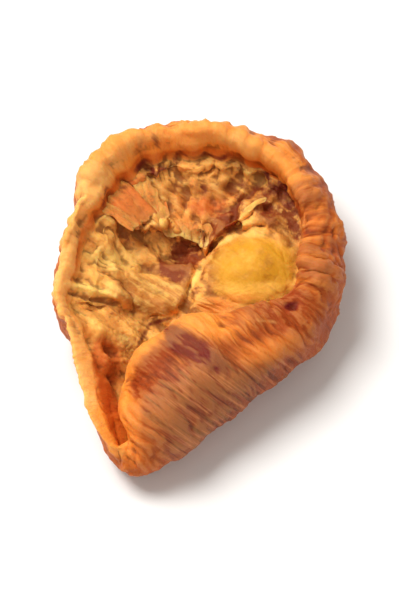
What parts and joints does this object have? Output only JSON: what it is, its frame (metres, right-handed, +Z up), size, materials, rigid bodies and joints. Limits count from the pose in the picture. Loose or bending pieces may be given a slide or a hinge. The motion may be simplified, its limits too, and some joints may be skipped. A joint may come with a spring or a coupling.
{
  "type": "dried apricot half",
  "caption": "Dried apricot half: shrunken leathery cup with a thick rim, torn flesh around the stone's hollow, a folded-in lip of skin and a drawn-out tip.",
  "frame": {"origin": "centre of the bounding box's bottom face, in the plane that the fruit rests on", "axes": "+Z up out of the hollow, cut side; +Y from the drawn-out tip towards the broad end; +X to the right when looking along +Y"},
  "size_m": [0.0336, 0.0432, 0.0148],
  "materials": {
    "fruit": "leathery dried fruit skin and flesh, orange with brown and tan patches"
  },
  "bodies": {
    "root": {"fruit": "fruit"}
  },
  "joints": []
}
